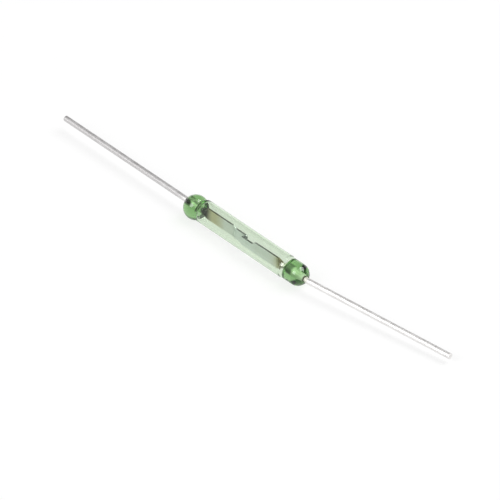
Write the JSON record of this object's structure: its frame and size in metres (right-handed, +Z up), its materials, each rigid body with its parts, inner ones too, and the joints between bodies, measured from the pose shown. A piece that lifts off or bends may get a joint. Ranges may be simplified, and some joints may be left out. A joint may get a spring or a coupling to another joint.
{
  "type": "glass reed switch",
  "caption": "Glass reed switch: wire reeds sealed in a thin green glass tube, their flat blades overlapping with a small gap that a magnet closes, with a round lead at each end.",
  "frame": {"origin": "on the axis of the glass tube, half-way between the two lead exits", "axes": "+X along the tube from the left lead to the right lead, +Z up, with the blades standing on edge along Z, and -Y towards the front, where the right blade lies"},
  "size_m": [0.0435, 0.0035, 0.0021],
  "materials": {
    "green_glass": "fire-polished green glass, pale in the thin wall and deep in the solid ends",
    "tinned_wire": "drawn nickel-iron wire with a bright tin coat",
    "pressed_reed": "pressed nickel-iron, satin, straw to brown heat tint by the seals and plated tips"
  },
  "bodies": {
    "switch_body": {"glass_envelope": "green_glass", "left_lead": "tinned_wire", "right_lead": "tinned_wire"},
    "left_reed": {"left_blade": "pressed_reed"},
    "right_reed": {"right_blade": "pressed_reed"}
  },
  "joints": [
    {"name": "left_reed_flex", "type": "hinge", "parent": "switch_body", "child": "left_reed", "pos_m": [-0.00457, 0, 0], "axis": [0, 0, -1], "range_deg": [0, 0.45], "stiffness_Nm_per_rad": 0.00005},
    {"name": "right_reed_flex", "type": "hinge", "parent": "switch_body", "child": "right_reed", "pos_m": [0.00412, -0.0002, 0], "axis": [0, 0, -1], "range_deg": [0, 0.45], "stiffness_Nm_per_rad": 0.00005}
  ],
  "couplings": [
    {"joint": "right_reed_flex", "follows": "left_reed_flex", "ratio": 1}
  ]
}
